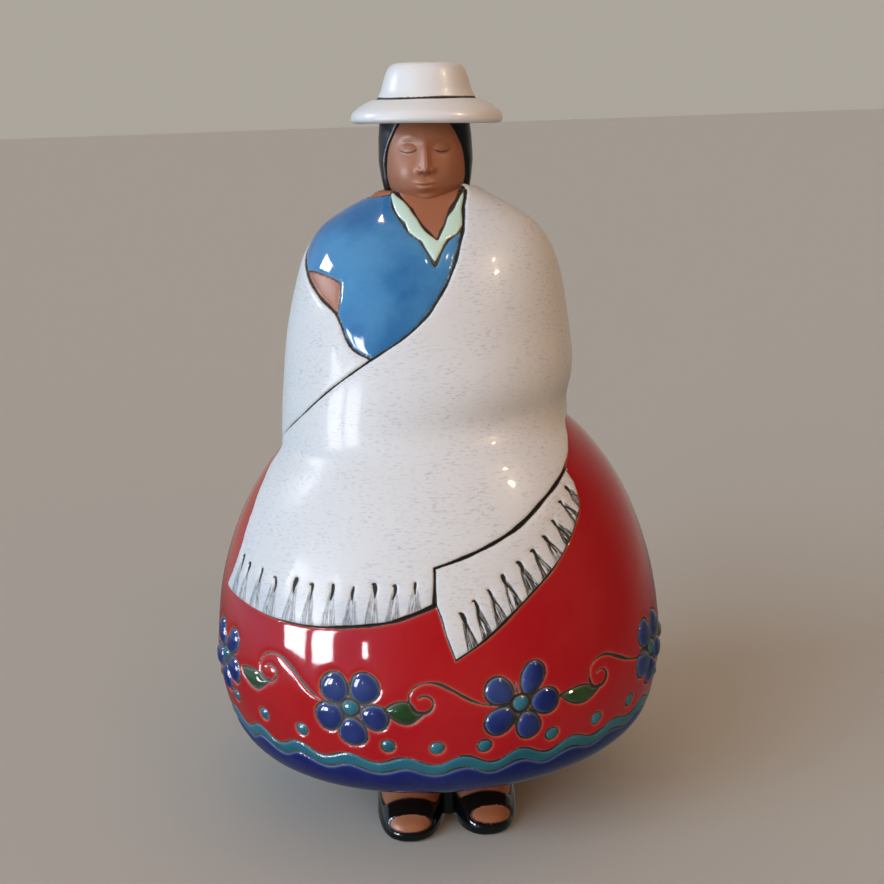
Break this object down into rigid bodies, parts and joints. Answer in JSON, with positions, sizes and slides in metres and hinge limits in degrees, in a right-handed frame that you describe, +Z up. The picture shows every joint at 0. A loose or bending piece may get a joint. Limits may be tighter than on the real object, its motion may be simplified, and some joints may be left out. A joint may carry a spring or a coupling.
{
  "type": "ceramic woman figurine",
  "caption": "Glazed ceramic figurine of a standing woman with a round flowered skirt, a fringed shawl wrapped over a blouse, and a brimmed hat.",
  "frame": {"origin": "centre of the figure's outline seen from above, at the height of the soles", "axes": "+Z up along the figure, -Y the way the woman faces, +X towards her left hand"},
  "size_m": [0.1834, 0.1778, 0.3001],
  "materials": {
    "glaze": "gloss"
  },
  "bodies": {
    "root": {"figurine": "glaze"}
  },
  "joints": []
}
